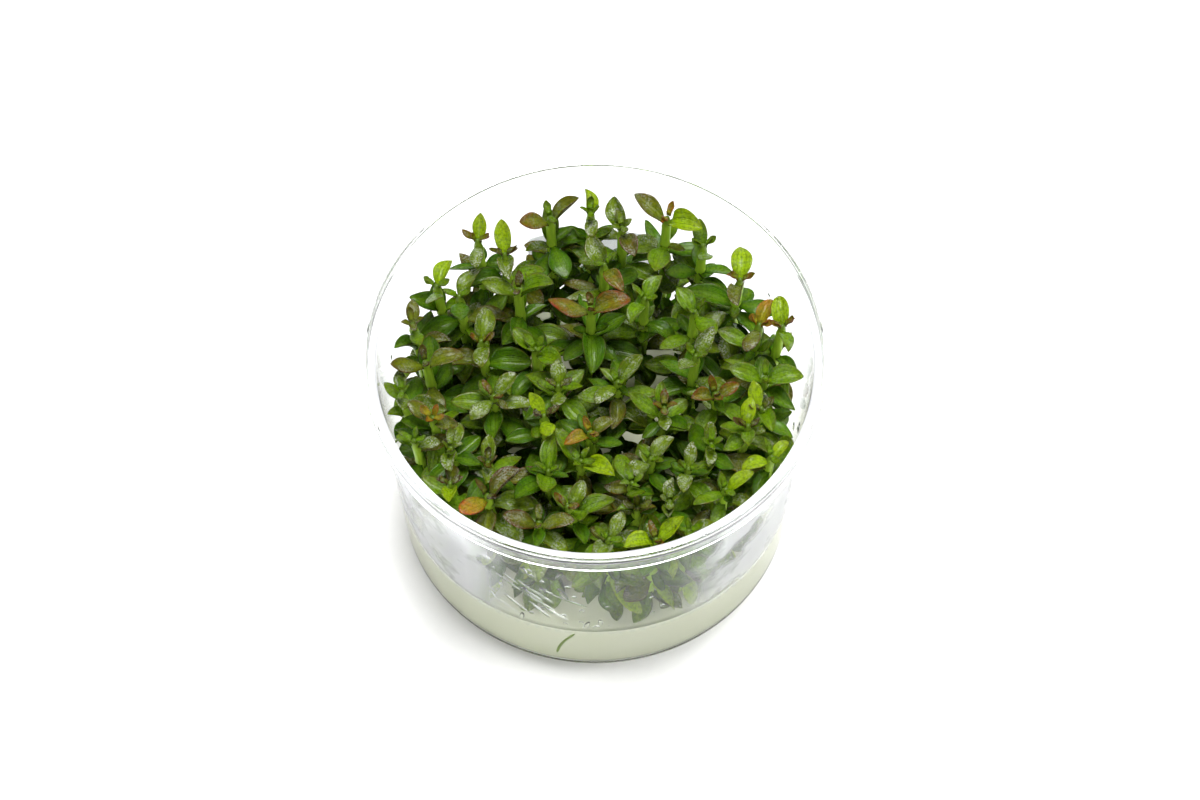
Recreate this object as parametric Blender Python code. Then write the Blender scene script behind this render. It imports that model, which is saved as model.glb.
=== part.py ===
"""Bacopa salzmannii in tissue culture: a crowd of leafy shoots on nutrient gel in an open clear cup.

Metres, +Z up. The origin is the centre of the cup's underside, and the front of the cup faces -Y.
"""

import itertools
import math
import random
from collections import namedtuple

import bmesh
import bpy
from mathutils import Matrix, Vector
from mathutils.bvhtree import BVHTree

MM = 0.001
GAP = 0.3 * MM
SEGMENTS = 48
SMOOTH_ANGLE = 40

# Cup
CUP_HEIGHT = 62.5 * MM
RIM_RADIUS = 50.0 * MM
SKIRT_DEPTH = 5.0 * MM
SKIRT_WALL = 1.0 * MM
LID_STEP = 1.9 * MM
BASE_RADIUS = 44.4 * MM
BASE_CORNER = 3.0 * MM
CORNER_CUT = 0.3 * BASE_CORNER
WALL = 1.1 * MM
WALL_TOP_RADIUS = 47.7 * MM

# Nutrient gel
GEL_TOP = 17.5 * MM
GEL_SEGMENTS = 24

# Sticker on the back wall
LABEL_LOW = 22.0 * MM
LABEL_HIGH = 40.0 * MM
LABEL_HALF_WIDTH = 15.0 * MM
LABEL_THICKNESS = 0.2 * MM
LABEL_STEPS = 6

# Stems and leaves
STEM_FOOT_SIDE = 1.7 * MM
STEM_TIP_SIDE = 1.3 * MM
NODE_HEIGHT = 1.4 * MM
BUD_TO_FIRST_PAIR = 1.9 * MM
INTERNODE = 7.8 * MM
FOOT_SPREAD = 0.92
LEAF_SLENDERNESS = 0.66
BUD_LEAF = 2.8 * MM
LEAF_THICKNESS = 0.7 * MM
TIP_THINNING = 0.3
CLEARANCE = 0.25 * MM

# The rings of a leaf between its root and its tip: share of the length, share of the full width
BROAD_RINGS = ((0.30, 0.92), (0.76, 0.84))
SMALL_RINGS = ((0.56, 1.0),)

# How a leaf leaves its stem: its rise at the root and at the tip, in degrees above level, and its
# length beside that of the first full pair.
Pair = namedtuple("Pair", "rise_root rise_tip share rings")
BUD_PAIR = Pair(66, 48, None, SMALL_RINGS)
FULL_PAIRS = (
    Pair(46, 14, 1.0, BROAD_RINGS),
    Pair(24, -8, 1.15, SMALL_RINGS),
    Pair(6, -24, 1.15, SMALL_RINGS),
)

# Growth is never quite regular: the spread of a leaf's length share, and of its roll and lean in
# degrees
SEED = 11
LENGTH_SPREAD = 0.08
ROLL_SPREAD = 16
LEAN_SPREAD = 6

# Other ways a leaf may settle where a neighbour is in its way
RISE_SHIFTS = (0, 13, -13, 26, -26, 40)
SWING_SHIFTS = (0, 13, -13, 27, -27)
LENGTH_SHARES = (1.0, 0.86, 0.72, 0.58)

# What such a change costs beside the others: all of the length, a degree of rise, one of swing
LENGTH_COST = 12
RISE_COST = 0.10
SWING_COST = 0.08

# Each shoot's growing tip: millimetres to the right and towards the back, height, the bearing of
# its first leaf pair in degrees from +X, the number of full pairs, their length in millimetres, its
# tone, and how far its foot stands aside from the usual place.
Shoot = namedtuple("Shoot", "right back height bearing pairs leaf tone aside", defaults=((0, 0),))
BACK = (
    Shoot(-26, 32, 59, 82, 3, 6.5, "green"),
    Shoot(-20, 29, 58, 96, 3, 7.5, "green"),
    Shoot(-10, 38, 59, 20, 3, 8.0, "bronze"),
    Shoot(-1, 40, 58, 92, 2, 6.0, "green"),
    Shoot(6, 36, 58, 110, 3, 8.0, "silver"),
    Shoot(16, 38, 59, 152, 3, 8.5, "green"),
    Shoot(24, 32, 57, 98, 3, 6.5, "green"),
    Shoot(-35, 22, 56, 82, 3, 8.0, "green"),
    Shoot(-30, 20, 55, 92, 3, 8.5, "green"),
    Shoot(32, 23, 57, 84, 3, 8.5, "bronze"),
    Shoot(-17, 21, 56, 172, 3, 8.5, "silver"),
    Shoot(2, 27, 57, 118, 3, 8.0, "silver"),
)
MIDDLE = (
    Shoot(36, 12, 56, 66, 3, 7.0, "bronze"),
    Shoot(41, 11, 57, 106, 3, 7.0, "green"),
    Shoot(-40, 12, 56, 104, 2, 6.0, "bronze"),
    Shoot(-37, 3, 55, 14, 3, 8.0, "bronze"),
    Shoot(-25, 9, 54, 90, 3, 8.0, "silver"),
    Shoot(-13, 7, 54, 140, 3, 7.5, "green"),
    Shoot(-1, 15, 58, 3, 3, 9.5, "red"),
    Shoot(11, 20, 54, 60, 3, 7.5, "green"),
    Shoot(22, 16, 55, 125, 3, 7.5, "green"),
    Shoot(-8, -3, 55, 90, 3, 7.0, "silver"),
    Shoot(5, -2, 55, 42, 3, 8.0, "silver"),
    Shoot(-22, -5, 54, 46, 3, 7.5, "silver"),
    Shoot(15, -8, 54, 90, 2, 6.0, "red"),
    Shoot(22, 4, 56, 60, 3, 7.5, "silver"),
    Shoot(26, -5, 55, 20, 3, 6.0, "red", (4, -1)),
    Shoot(37, -1, 55, 0, 3, 8.0, "green"),
    Shoot(36, -8, 54, 112, 3, 6.5, "bronze"),
    Shoot(-42, -4, 54, 92, 2, 5.5, "silver"),
    Shoot(-35, -11, 55, 152, 3, 6.5, "bronze"),
    Shoot(-11, -11, 56, 100, 3, 7.0, "red"),
)
FRONT = (
    Shoot(-39, -15, 52, 166, 2, 6.0, "silver"),
    Shoot(-31, -18, 54, 90, 3, 7.0, "silver"),
    Shoot(-23, -21, 53, 90, 2, 6.0, "silver"),
    Shoot(-31, -26, 53, 92, 3, 6.5, "bronze"),
    Shoot(-23, -29, 53, 42, 3, 8.5, "red"),
    Shoot(-10, -23, 53, 82, 3, 8.5, "green"),
    Shoot(-12, -34, 50, 178, 3, 8.5, "bronze"),
    Shoot(-6, -31, 52, 60, 3, 7.0, "silver", (8, -4)),
    Shoot(-1, -14, 54, 32, 3, 6.5, "bronze"),
    Shoot(-3, -20, 52, -32, 3, 9.0, "green"),
    Shoot(3, -38, 50, 62, 3, 7.0, "silver"),
    Shoot(9, -31, 51, 2, 2, 4.0, "bronze"),
    Shoot(12, -20, 53, 52, 3, 7.0, "silver"),
    Shoot(8, -26, 53, 112, 3, 8.0, "green"),
    Shoot(13, -38, 50, 25, 3, 8.0, "green"),
    Shoot(16, -30, 52, 88, 2, 5.5, "silver"),
    Shoot(20, -23, 54, 80, 3, 6.5, "silver"),
    Shoot(25, -17, 54, 90, 2, 5.0, "silver"),
    Shoot(20, -36, 50, 6, 2, 6.0, "silver"),
    Shoot(28, -27, 52, 26, 3, 8.0, "green"),
    Shoot(33, -13, 55, 90, 3, 7.0, "bronze"),
    Shoot(38, -19, 52, 22, 3, 6.5, "green"),
)

# Colour, roughness and share of light let through
Finish = namedtuple("Finish", "colour roughness clear", defaults=(0.0,))
TONES = {
    "green": Finish((0.17, 0.34, 0.03), 0.42),
    "bronze": Finish((0.22, 0.22, 0.05), 0.45),
    "silver": Finish((0.30, 0.38, 0.19), 0.50),
    "red": Finish((0.30, 0.13, 0.05), 0.45),
}
CLEAR_PLASTIC = Finish((0.93, 0.95, 0.94), 0.06, 1.0)
NUTRIENT_GEL = Finish((0.80, 0.84, 0.72), 0.12, 0.6)
LABEL_FILM = Finish((0.88, 0.87, 0.92), 0.55)


def clear_scene():
    for obj in list(bpy.data.objects):
        bpy.data.objects.remove(obj, do_unlink=True)


def material_of(name, finish):
    """A Principled material, made once for each name. Nothing here is metal."""
    material = bpy.data.materials.get(name) or bpy.data.materials.new(name)
    material.use_nodes = True
    shader = material.node_tree.nodes["Principled BSDF"]
    shader.inputs["Base Color"].default_value = (*finish.colour, 1)
    shader.inputs["Roughness"].default_value = finish.roughness
    shader.inputs["Metallic"].default_value = 0.0
    shader.inputs["Transmission Weight"].default_value = finish.clear
    material.diffuse_color = (*finish.colour, 1)
    return material


def put_in_scene(name, bm, material, smooth):
    mesh = bpy.data.meshes.new(name)
    bm.to_mesh(mesh)
    bm.free()
    if smooth:
        mesh.shade_smooth()
        mesh.set_sharp_from_angle(angle=math.radians(SMOOTH_ANGLE))
    mesh.materials.append(material)
    obj = bpy.data.objects.new(name, mesh)
    bpy.context.scene.collection.objects.link(obj)
    return obj


def skin(bm, lower, upper, open_sides=()):
    """A band of faces from one ring to the next; a ring of one point closes it."""
    count = max(len(lower), len(upper))
    for i in range(count):
        if i in open_sides:
            continue
        j = (i + 1) % count
        corners = [lower[i % len(lower)], lower[j % len(lower)]]
        corners += [upper[j % len(upper)], upper[i % len(upper)]]
        bm.faces.new(dict.fromkeys(corners))


def lathe(profile, segments):
    """Turns a profile of (radius, height) about Z. It starts and ends on the axis."""
    bm = bmesh.new()
    rings = []
    for radius, height in profile:
        steps = segments if radius else 1
        turns = [2 * math.pi * step / segments for step in range(steps)]
        ring = [(radius * math.cos(turn), radius * math.sin(turn), height) for turn in turns]
        rings.append([bm.verts.new(point) for point in ring])
    for lower, upper in itertools.pairwise(rings):
        skin(bm, lower, upper)
    return bm


def wall_radius(height):
    """The wall's outer radius: a straight taper from the base corner to the lid step."""
    run = CUP_HEIGHT - LID_STEP - BASE_CORNER
    share = (height - BASE_CORNER) / run
    return BASE_RADIUS + share * (WALL_TOP_RADIUS - BASE_RADIUS)


def inner_radius(height):
    return wall_radius(height) - WALL


def make_cup():
    step = CUP_HEIGHT - LID_STEP
    skirt_foot = CUP_HEIGHT - SKIRT_DEPTH
    under_flange = step - WALL
    skirt_inside = RIM_RADIUS - SKIRT_WALL
    profile = [
        (0, 0),
        (BASE_RADIUS - BASE_CORNER, 0),
        (BASE_RADIUS - CORNER_CUT, CORNER_CUT),
        (BASE_RADIUS, BASE_CORNER),
        (wall_radius(under_flange), under_flange),
        (skirt_inside, under_flange),
        (skirt_inside, skirt_foot),
        (RIM_RADIUS, skirt_foot),
        (RIM_RADIUS, CUP_HEIGHT),
        (skirt_inside, CUP_HEIGHT),
        (WALL_TOP_RADIUS, step),
        (inner_radius(under_flange), under_flange),
        (inner_radius(BASE_CORNER), BASE_CORNER),
        (BASE_RADIUS - BASE_CORNER, WALL),
        (0, WALL),
    ]
    material = material_of("clear_plastic", CLEAR_PLASTIC)
    put_in_scene("cup", lathe(profile, SEGMENTS), material, True)


def make_gel():
    corner = BASE_CORNER + GAP
    profile = [
        (0, WALL + GAP),
        (BASE_RADIUS - BASE_CORNER - GAP, WALL + GAP),
        (inner_radius(corner) - 2 * GAP, corner),
        (inner_radius(GEL_TOP) - GAP, GEL_TOP),
        (0, GEL_TOP),
    ]
    material = material_of("nutrient_gel", NUTRIENT_GEL)
    put_in_scene("gel", lathe(profile, GEL_SEGMENTS), material, True)


def make_label():
    """A curved strip that follows the back wall, one gap outside it."""
    bm = bmesh.new()
    half_turn = math.asin(LABEL_HALF_WIDTH / BASE_RADIUS)
    rings = []
    for i in range(LABEL_STEPS + 1):
        turn = math.pi / 2 + half_turn * (1 - 2 * i / LABEL_STEPS)
        ring = []
        for height, lift in ((LABEL_LOW, 1), (LABEL_LOW, 0), (LABEL_HIGH, 0), (LABEL_HIGH, 1)):
            radius = wall_radius(height) + GAP + lift * LABEL_THICKNESS
            ring.append(bm.verts.new((radius * math.cos(turn), radius * math.sin(turn), height)))
        rings.append(ring)
    for first, second in itertools.pairwise(rings):
        skin(bm, first, second)
    bm.faces.new(reversed(rings[0]))
    bm.faces.new(rings[-1])
    bmesh.ops.recalc_face_normals(bm, faces=bm.faces)
    put_in_scene("label", bm, material_of("label_film", LABEL_FILM), False)


def square_ring(centre, bearing, side):
    """The stem's four corners at one height, anticlockwise from above."""
    reach = side / math.sqrt(2)
    turns = [bearing + math.pi / 4 + i * math.pi / 2 for i in range(4)]
    return [centre + Vector((reach * math.cos(t), reach * math.sin(t), 0)) for t in turns]


def leaf_rings(root, bearing, length, pair, rise_shift=0, swing=0, roll=0, spare=0):
    """The corner points of a leaf's rings from its root to its tip. A ring runs as the root does:
    lower left, lower right, upper right, upper left, seen from the tip."""
    heading = bearing + math.radians(swing)
    out = Vector((math.cos(heading), math.sin(heading), 0))
    across = Vector((0, 0, 1)).cross(out)
    shares = (0.0, *(share for share, _ in pair.rings), 1.0)
    widths = [LEAF_SLENDERNESS * length * share for _, share in pair.rings]
    point = sum(root, Vector()) / len(root)
    rings = [root]
    for ring, (start, end) in enumerate(itertools.pairwise(shares)):
        middle = (start + end) / 2
        rise = pair.rise_root + rise_shift + middle * (pair.rise_tip - pair.rise_root)
        along = out * math.cos(math.radians(rise)) + Vector((0, 0, math.sin(math.radians(rise))))
        point = point + along * (end - start) * length
        if ring == len(widths):
            rings.append([point + along * spare])
            break
        turned = Matrix.Rotation(math.radians(roll) * (ring + 1) / 2, 3, along)
        edge = turned @ across * (widths[ring] / 2 + spare)
        thickness = LEAF_THICKNESS * (1 - TIP_THINNING * ring)
        upper = turned @ along.cross(across) * (thickness / 2 + spare)
        corners = [-edge - upper, edge - upper, edge + upper, -edge + upper]
        rings.append([point + corner for corner in corners])
    return rings


def tree_of(rings):
    """A search tree over the skin of a stack of rings."""
    bm = bmesh.new()
    stack = [[bm.verts.new(point) for point in ring] for ring in rings]
    for lower, upper in itertools.pairwise(stack):
        skin(bm, lower, upper)
    tree = BVHTree.FromBMesh(bm)
    bm.free()
    return tree


class Crowd:
    """Everything that stands in the cup so far, to keep each new leaf clear of it."""

    def __init__(self):
        self.placed = []

    def add(self, rings):
        points = [point for ring in rings for point in ring]
        centre = sum(points, Vector()) / len(points)
        reach = max((point - centre).length for point in points)
        self.placed.append((tree_of(rings), centre, reach))

    def is_clear(self, rings, skipped=()):
        points = [point for ring in rings for point in ring]
        for point in points:
            if point.z < GEL_TOP + GAP or point.z > CUP_HEIGHT - GAP:
                return False
            if math.hypot(point.x, point.y) > inner_radius(point.z) - 2 * GAP:
                return False
        centre = sum(points, Vector()) / len(points)
        reach = max((point - centre).length for point in points)
        tree = tree_of(rings)
        for index, (other, middle, size) in enumerate(self.placed):
            if index in skipped or (centre - middle).length > reach + size:
                continue
            if tree.overlap(other):
                return False
        return True


class Stem:
    """A straight stem from the gel to its growing tip, with a level of leaf roots at each node."""

    def __init__(self, shoot):
        self.shoot = shoot
        self.bearing = math.radians(shoot.bearing)
        self.tip = Vector((shoot.right, shoot.back, shoot.height)) * MM
        aside = Vector((*shoot.aside, 0)) * MM
        self.foot = Vector((self.tip.x, self.tip.y, 0)) * FOOT_SPREAD + aside
        self.foot.z = GEL_TOP + GAP
        drops = [0, BUD_TO_FIRST_PAIR]
        for _ in range(shoot.pairs - 1):
            drops.append(drops[-1] + INTERNODE)
        self.node_tops = [self.tip.z - drop for drop in drops]
        self.leaves = {}

    def point(self, height):
        share = (height - self.foot.z) / (self.tip.z - self.foot.z)
        return self.foot.lerp(self.tip, share)

    def side(self, height):
        share = (height - self.foot.z) / (self.tip.z - self.foot.z)
        return STEM_FOOT_SIDE + share * (STEM_TIP_SIDE - STEM_FOOT_SIDE)

    def ring(self, height):
        return square_ring(self.point(height), self.bearing, self.side(height))

    def heights(self):
        """Ring heights from the foot up: both edges of every node."""
        levels = [self.foot.z]
        for top in reversed(self.node_tops):
            levels += [top - NODE_HEIGHT, top]
        return levels

    def sides_with_leaves(self, rank):
        """The first pair keeps the shoot's bearing, and each next one turns a right angle."""
        return (3, 1) if rank % 2 else (0, 2)

    def settle_leaf(self, crowd, own, rank, side, rng):
        """Tries the leaf's wanted pose first, then others, and keeps the first that is clear."""
        pair = FULL_PAIRS[rank - 1] if rank else BUD_PAIR
        length = self.shoot.leaf * MM * pair.share if rank else BUD_LEAF
        length *= rng.uniform(1 - LENGTH_SPREAD, 1 + LENGTH_SPREAD)
        roll = rng.uniform(-ROLL_SPREAD, ROLL_SPREAD)
        lean = rng.uniform(-LEAN_SPREAD, LEAN_SPREAD)
        bearing = self.bearing + (side + 1) * math.pi / 2
        upper = self.ring(self.node_tops[rank])
        lower = self.ring(self.node_tops[rank] - NODE_HEIGHT)
        after = (side + 1) % 4
        root = [lower[side], lower[after], upper[after], upper[side]]
        poses = itertools.product(LENGTH_SHARES, RISE_SHIFTS, SWING_SHIFTS)
        for share, rise, swing in sorted(poses, key=effort):
            pose = (root, bearing, length * share, pair, rise + lean, swing, roll)
            if crowd.is_clear(leaf_rings(*pose, spare=CLEARANCE), own):
                rings = leaf_rings(*pose)
                self.leaves[rank, side] = rings
                crowd.add(rings)
                return


def effort(pose):
    """How far a pose is from the wanted one."""
    share, rise, swing = pose
    return LENGTH_COST * (1 - share) + RISE_COST * abs(rise) + SWING_COST * abs(swing)


def grow(shoots):
    """Stems first, then the leaves, level by level from the tips down, so that the leaves that
    show most are the least disturbed."""
    rng = random.Random(SEED)
    crowd = Crowd()
    stems = [Stem(shoot) for shoot in shoots]
    for stem in stems:
        crowd.add([stem.ring(height) for height in (stem.foot.z, stem.tip.z)])
    for rank in range(len(FULL_PAIRS) + 1):
        for index, stem in enumerate(stems):
            if rank > stem.shoot.pairs:
                continue
            for side in stem.sides_with_leaves(rank):
                stem.settle_leaf(crowd, (index,), rank, side, rng)
    return stems


def make_shoot(name, stem):
    """Skins the stem ring by ring, and draws each leaf out of its side of the node."""
    bm = bmesh.new()
    levels = stem.heights()
    rings = [[bm.verts.new(point - stem.foot) for point in stem.ring(level)] for level in levels]
    bm.faces.new(reversed(rings[0]))
    bm.faces.new(rings[-1])
    for index, (lower, upper) in enumerate(itertools.pairwise(rings)):
        rank = stem.shoot.pairs - index // 2
        sides = [side for side in range(4) if index % 2 and (rank, side) in stem.leaves]
        skin(bm, lower, upper, sides)
        for side in sides:
            after = (side + 1) % 4
            last = [lower[side], lower[after], upper[after], upper[side]]
            for ring in stem.leaves[rank, side][1:]:
                following = [bm.verts.new(point - stem.foot) for point in ring]
                skin(bm, last, following)
                last = following
    material = material_of(f"leaf_{stem.shoot.tone}", TONES[stem.shoot.tone])
    obj = put_in_scene(name, bm, material, False)
    obj.location = stem.foot


clear_scene()
make_cup()
make_gel()
make_label()
for number, stem in enumerate(grow(BACK + MIDDLE + FRONT), start=1):
    make_shoot(f"shoot_{number:02d}", stem)
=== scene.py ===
"""Looks for the bacopa salzmannii in its tissue culture cup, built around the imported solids.

Metres, +Z up; sizes are written in millimetres times MM. The front of the cup faces -Y.
"""

import itertools
import math
import random
from collections import namedtuple

import bpy
import numpy as np
from mathutils import Matrix, Vector
from mathutils.bvhtree import BVHTree


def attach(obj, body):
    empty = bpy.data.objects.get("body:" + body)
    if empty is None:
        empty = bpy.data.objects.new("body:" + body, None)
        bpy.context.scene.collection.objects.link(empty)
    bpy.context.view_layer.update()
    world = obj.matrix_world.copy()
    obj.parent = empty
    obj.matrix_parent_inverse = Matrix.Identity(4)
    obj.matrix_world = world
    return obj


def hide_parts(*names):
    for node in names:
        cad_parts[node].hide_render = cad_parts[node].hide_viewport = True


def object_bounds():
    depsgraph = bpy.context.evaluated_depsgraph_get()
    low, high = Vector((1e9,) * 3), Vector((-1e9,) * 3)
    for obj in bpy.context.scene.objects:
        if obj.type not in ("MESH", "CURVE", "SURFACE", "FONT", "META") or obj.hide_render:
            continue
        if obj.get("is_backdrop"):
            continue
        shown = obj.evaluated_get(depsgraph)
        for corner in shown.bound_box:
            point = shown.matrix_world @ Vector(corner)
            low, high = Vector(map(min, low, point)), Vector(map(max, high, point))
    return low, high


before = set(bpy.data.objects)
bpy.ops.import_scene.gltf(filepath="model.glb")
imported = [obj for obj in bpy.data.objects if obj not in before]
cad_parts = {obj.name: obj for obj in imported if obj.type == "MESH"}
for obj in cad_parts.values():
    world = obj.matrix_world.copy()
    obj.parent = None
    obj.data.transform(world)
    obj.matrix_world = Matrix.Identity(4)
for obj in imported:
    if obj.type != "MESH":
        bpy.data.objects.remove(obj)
cad_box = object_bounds()


# The cup
# A clear cup of polystyrene, injection moulded in one piece: a flat base on a foot ring, a straight
# tapered wall, and a rim with a short skirt outside and a sealing step inside.

MM = 0.001
CUP_HEIGHT = 62.5 * MM
RIM_RADIUS = 50.0 * MM
SKIRT_FOOT = 57.5 * MM
SKIRT_WALL = 1.0 * MM
STEP_HEIGHT = 60.6 * MM
STEP_RADIUS = 47.7 * MM
BASE_RADIUS = 44.4 * MM
BASE_CORNER = 3.0 * MM
FOOT_RING = 37.0 * MM
FOOT_RISE = 0.35 * MM
WALL = 1.1 * MM
TOP_WALL = 0.5 * MM
CUP_STEPS = 256
LIP_FILLET = 0.45 * MM
LIP_INNER_FILLET = 0.35 * MM
CORNER_FILLET = 2.6 * MM
INNER_CORNER_FILLET = 1.8 * MM
STEP_FILLET = 0.15 * MM
EDGE_FILLET = 0.1 * MM
GUARD = 0.2 * MM
SHARP_EDGE = 32
GEL_TOP = 17.5 * MM
WALL_IOR = 1.13
WALL_SHINE = 0.1
# Share of white film on the wall: partly mist, partly a painted reflection of the room on its sides
WALL_MIST_AND_REFLECTION = 0.5
RIM_IOR = 1.36
RIM_SHINE = 0.25


def wall_radius(height):
    """The outer wall's radius, a straight taper from the base corner to the step."""
    share = (height - BASE_CORNER) / (STEP_HEIGHT - BASE_CORNER)
    return BASE_RADIUS + share * (STEP_RADIUS - BASE_RADIUS)


def inner_radius(height):
    """The inner wall's radius: the wall thins towards the step."""
    share = (height - BASE_CORNER) / (STEP_HEIGHT - BASE_CORNER)
    return wall_radius(height) - WALL - share * (TOP_WALL - WALL)


def rounded(corners, steps=5):
    """Rounds each corner of a profile. A corner is (radius, height, fillet). A point just before
    and after each fillet keeps the straight runs between them straight in smooth shading."""
    points = [corners[0][:2]]
    for before, corner, after in zip(corners, corners[1:], corners[2:]):
        here = Vector(corner[:2])
        back = Vector(before[:2]) - here
        ahead = Vector(after[:2]) - here
        run = corner[2] / math.tan(back.angle(ahead) / 2)
        start = here + back.normalized() * run
        end = here + ahead.normalized() * run
        room = min(back.length - run, ahead.length - run)
        guard = min(GUARD, 0.2 * room)
        points.append(tuple(start + back.normalized() * guard))
        for i in range(steps + 1):
            t = i / steps
            points.append(tuple(start.lerp(here, t).lerp(here.lerp(end, t), t)))
        points.append(tuple(end + ahead.normalized() * guard))
    return points + [corners[-1][:2]]


def skin_mesh(name, points, faces, smooth_below=None):
    """A smooth mesh that rides on the body. Edges sharper than smooth_below degrees stay crisp."""
    mesh = bpy.data.meshes.new(name)
    mesh.from_pydata([tuple(point) for point in points], [], faces)
    mesh.shade_smooth()
    if smooth_below:
        mesh.set_sharp_from_angle(angle=math.radians(smooth_below))
    obj = bpy.data.objects.new(name, mesh)
    bpy.context.scene.collection.objects.link(obj)
    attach(obj, "root")
    return obj


def turned(name, profile, steps):
    """Turns a profile of (radius, height) about Z, from its start on the axis to its end there."""
    points = []
    starts = []
    for radius, height in profile:
        starts.append(len(points))
        count = steps if radius > 0 else 1
        for i in range(count):
            turn = 2 * math.pi * i / steps
            points.append((radius * math.cos(turn), radius * math.sin(turn), height))
    faces = []
    for k, (low, high) in enumerate(itertools.pairwise(starts)):
        low_count = 1 if profile[k][0] <= 0 else steps
        high_count = 1 if profile[k + 1][0] <= 0 else steps
        for i in range(steps):
            j = (i + 1) % steps
            corners = [low + i % low_count, low + j % low_count]
            corners += [high + j % high_count, high + i % high_count]
            faces.append(tuple(dict.fromkeys(corners)))
    return skin_mesh(name, points, faces, SHARP_EDGE)


def srgb(code):
    """A hex colour as linear red, green, blue and alpha."""
    channels = [int(code[i:i + 2], 16) / 255 for i in (1, 3, 5)]
    linear = [c / 12.92 if c <= 0.04045 else ((c + 0.055) / 1.055) ** 2.4 for c in channels]
    return (*linear, 1.0)


def blank_material(name):
    material = bpy.data.materials.new(name)
    material.use_nodes = True
    material.node_tree.nodes.clear()
    return material


def add(material, kind, sockets=(), **settings):
    """Adds a node. sockets maps its inputs to a value, to an output that feeds them, or to a node
    for its first output in use."""
    node = material.node_tree.nodes.new("ShaderNode" + kind)
    for name, value in settings.items():
        setattr(node, name, value)
    for name, value in dict(sockets).items():
        if isinstance(value, bpy.types.Node):
            value = next(output for output in value.outputs if output.enabled)
        if isinstance(value, bpy.types.NodeSocket):
            material.node_tree.links.new(value, node.inputs[name])
        else:
            node.inputs[name].default_value = value
    return node


def grained(material, grains, detail, low, high):
    """A colour that drifts between two over the surface, with so many grains to a millimetre."""
    place = add(material, "TexCoord")
    noise = add(material, "TexNoise", {
        "Vector": place.outputs["Object"],
        "Scale": grains / MM,
        "Detail": detail,
    })
    return add(material, "Mix", {"Factor": noise, "A": srgb(low), "B": srgb(high)},
               data_type="RGBA")


def scuffed_polystyrene():
    """The same plastic on the sealing step, scuffed by the lid to a faintly frosted ring."""
    material = blank_material("scuffed_polystyrene")
    shader = add(material, "BsdfPrincipled", {
        "Base Color": grained(material, 0.7, 4, "#E9EBEF", "#F8F9FB"),
        "Roughness": 0.2,
        "IOR": 1.3,
        "Transmission Weight": 0.55,
    })
    add(material, "OutputMaterial", {"Surface": shader})
    return material


def clear_polystyrene(name, ior, level, mist_and_reflection):
    """Moulded clear polystyrene: water clear and glossy, with faint handling haze. The thin wall
    bends light little, the thick rim and foot bend it into edge lines. A white film whitens the
    wall at the front left and right: partly mist breathed on by the wet gel, partly a painted
    reflection of the bright room on the wall's sides."""
    material = blank_material(name)
    place = add(material, "TexCoord")
    haze = add(material, "TexNoise", {"Vector": place.outputs["Object"], "Scale": 0.09 / MM,
                                      "Detail": 3})
    dulled = add(material, "MapRange", {"Value": haze, "From Min": 0.45, "From Max": 0.8,
                                        "To Min": 0.01, "To Max": 0.05})
    shader = add(material, "BsdfPrincipled", {
        "Base Color": srgb("#FCFEFD"),
        "Roughness": dulled,
        "IOR": ior,
        "Specular IOR Level": level,
        "Transmission Weight": 1.0,
    })

    # The white film, partly mist and partly painted reflection, sets in away from the middle, at
    # the front and over the gel, and in patches
    split = add(material, "SeparateXYZ", {"Vector": place.outputs["Object"]})
    aside = add(material, "Math", {0: split.outputs["X"]}, operation="ABSOLUTE")
    cover = mist_and_reflection
    for value, start, end in (
        (aside, 18 * MM, 28 * MM),
        (split.outputs["Y"], -8 * MM, -18 * MM),
        (split.outputs["Z"], GEL_TOP, GEL_TOP + 4 * MM),
        (haze, 0.35, 0.52),
    ):
        share = add(material, "MapRange", {"Value": value, "From Min": start, "From Max": end})
        cover = add(material, "Math", {0: cover, 1: share}, operation="MULTIPLY")
    # Partly painted reflection: a white film, diffuse and see-through, laid over the clear plastic
    white = srgb("#FAFAFF")
    front = add(material, "BsdfDiffuse", {"Color": white})
    through = add(material, "BsdfTranslucent", {"Color": white})
    fog_and_reflection = add(material, "MixShader", {0: 0.5, 1: front, 2: through})
    misted_and_reflecting = add(material, "MixShader", {0: cover, 1: shader, 2: fog_and_reflection})
    add(material, "OutputMaterial", {"Surface": misted_and_reflecting})
    return material


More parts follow.
